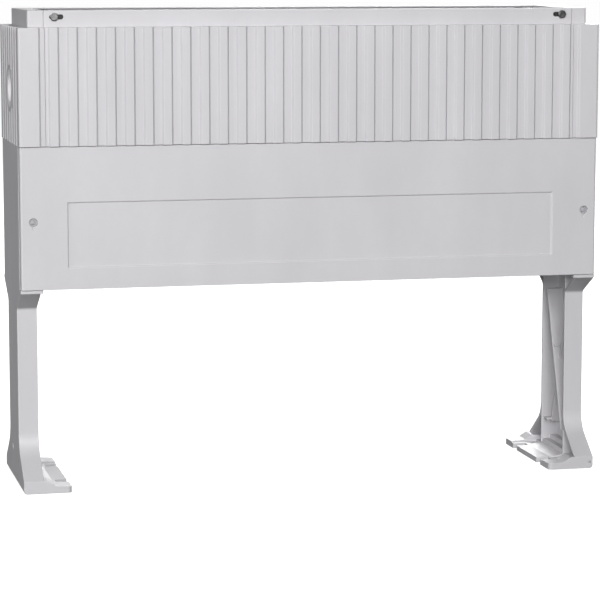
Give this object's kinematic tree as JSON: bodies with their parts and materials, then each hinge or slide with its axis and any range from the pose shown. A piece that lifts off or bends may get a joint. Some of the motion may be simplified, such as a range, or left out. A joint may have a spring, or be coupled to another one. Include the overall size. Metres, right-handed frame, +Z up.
{
  "type": "cable cabinet plinth",
  "caption": "Ground-burial plinth for an outdoor cable cabinet: fluted upper band, lift-off lower covers with quarter-turn locks, braced legs with feet and a rim to bolt the cabinet to.",
  "frame": {"origin": "middle of the footprint, on the soles of the feet", "axes": "+X along the front to the right, +Y from the front to the rear, +Z up"},
  "size_m": [1.115, 0.283, 0.895],
  "materials": {
    "grey_grp": "moulded light grey glass-fibre-reinforced plastic, low sheen",
    "plug_plastic": "moulded light grey plastic, low sheen",
    "lock_plastic": "moulded light grey plastic",
    "galvanised_steel": "hot-dip galvanised",
    "bright_bolts": "bright stainless",
    "black_steel": "black-painted plate",
    "seal_rubber": "moulded"
  },
  "bodies": {
    "plinth": {"right_side_frame": "grey_grp", "left_side_frame": "grey_grp", "front_upper_panel": "grey_grp", "rear_upper_panel": "grey_grp", "front_tie_bar": "galvanised_steel", "rear_tie_bar": "galvanised_steel", "left_rail_support": "galvanised_steel", "right_rail_support": "galvanised_steel", "cable_clamp_rail": "galvanised_steel", "cabinet_bolts": "bright_bolts", "cabinet_washers": "bright_bolts", "cabinet_nuts": "bright_bolts", "panel_bolts": "bright_bolts", "panel_nuts": "bright_bolts", "tie_bar_bolts": "bright_bolts", "tie_bar_nuts": "bright_bolts", "support_bolts": "bright_bolts", "support_nuts": "bright_bolts", "rail_bolts": "bright_bolts", "rail_nuts": "bright_bolts", "cabinet_backing_plates": "black_steel"},
    "front_cover": {"front_lower_cover": "grey_grp"},
    "rear_cover": {"rear_lower_cover": "grey_grp"},
    "left_plug": {"left_entry_plug": "plug_plastic", "left_entry_seal": "seal_rubber"},
    "right_plug": {"right_entry_plug": "plug_plastic", "right_entry_seal": "seal_rubber"},
    "front_left_lock": {"front_left_lock_pin": "lock_plastic", "front_left_lock_wing": "galvanised_steel", "front_left_lock_clip": "bright_bolts"},
    "front_right_lock": {"front_right_lock_pin": "lock_plastic", "front_right_lock_wing": "galvanised_steel", "front_right_lock_clip": "bright_bolts"},
    "rear_left_lock": {"rear_left_lock_pin": "lock_plastic", "rear_left_lock_wing": "galvanised_steel", "rear_left_lock_clip": "bright_bolts"},
    "rear_right_lock": {"rear_right_lock_pin": "lock_plastic", "rear_right_lock_wing": "galvanised_steel", "rear_right_lock_clip": "bright_bolts"}
  },
  "joints": [
    {"name": "front_cover_slide", "type": "slide", "parent": "plinth", "child": "front_cover", "axis": [0, -1, 0], "range_m": [0, 0.12]},
    {"name": "rear_cover_slide", "type": "slide", "parent": "plinth", "child": "rear_cover", "axis": [0, 1, 0], "range_m": [0, 0.12]},
    {"name": "left_plug_slide", "type": "slide", "parent": "plinth", "child": "left_plug", "axis": [-1, 0, 0], "range_m": [0, 0.04]},
    {"name": "right_plug_slide", "type": "slide", "parent": "plinth", "child": "right_plug", "axis": [1, 0, 0], "range_m": [0, 0.04]},
    {"name": "front_left_lock_turn", "type": "hinge", "parent": "front_cover", "child": "front_left_lock", "pos_m": [-0.5325, -0.1325, 0.5075], "axis": [0, -1, 0], "range_deg": [-90, 0]},
    {"name": "front_right_lock_turn", "type": "hinge", "parent": "front_cover", "child": "front_right_lock", "pos_m": [0.5325, -0.1325, 0.5075], "axis": [0, -1, 0], "range_deg": [-90, 0]},
    {"name": "rear_left_lock_turn", "type": "hinge", "parent": "rear_cover", "child": "rear_left_lock", "pos_m": [-0.5325, 0.1325, 0.5075], "axis": [0, 1, 0], "range_deg": [-90, 0]},
    {"name": "rear_right_lock_turn", "type": "hinge", "parent": "rear_cover", "child": "rear_right_lock", "pos_m": [0.5325, 0.1325, 0.5075], "axis": [0, 1, 0], "range_deg": [-90, 0]}
  ]
}
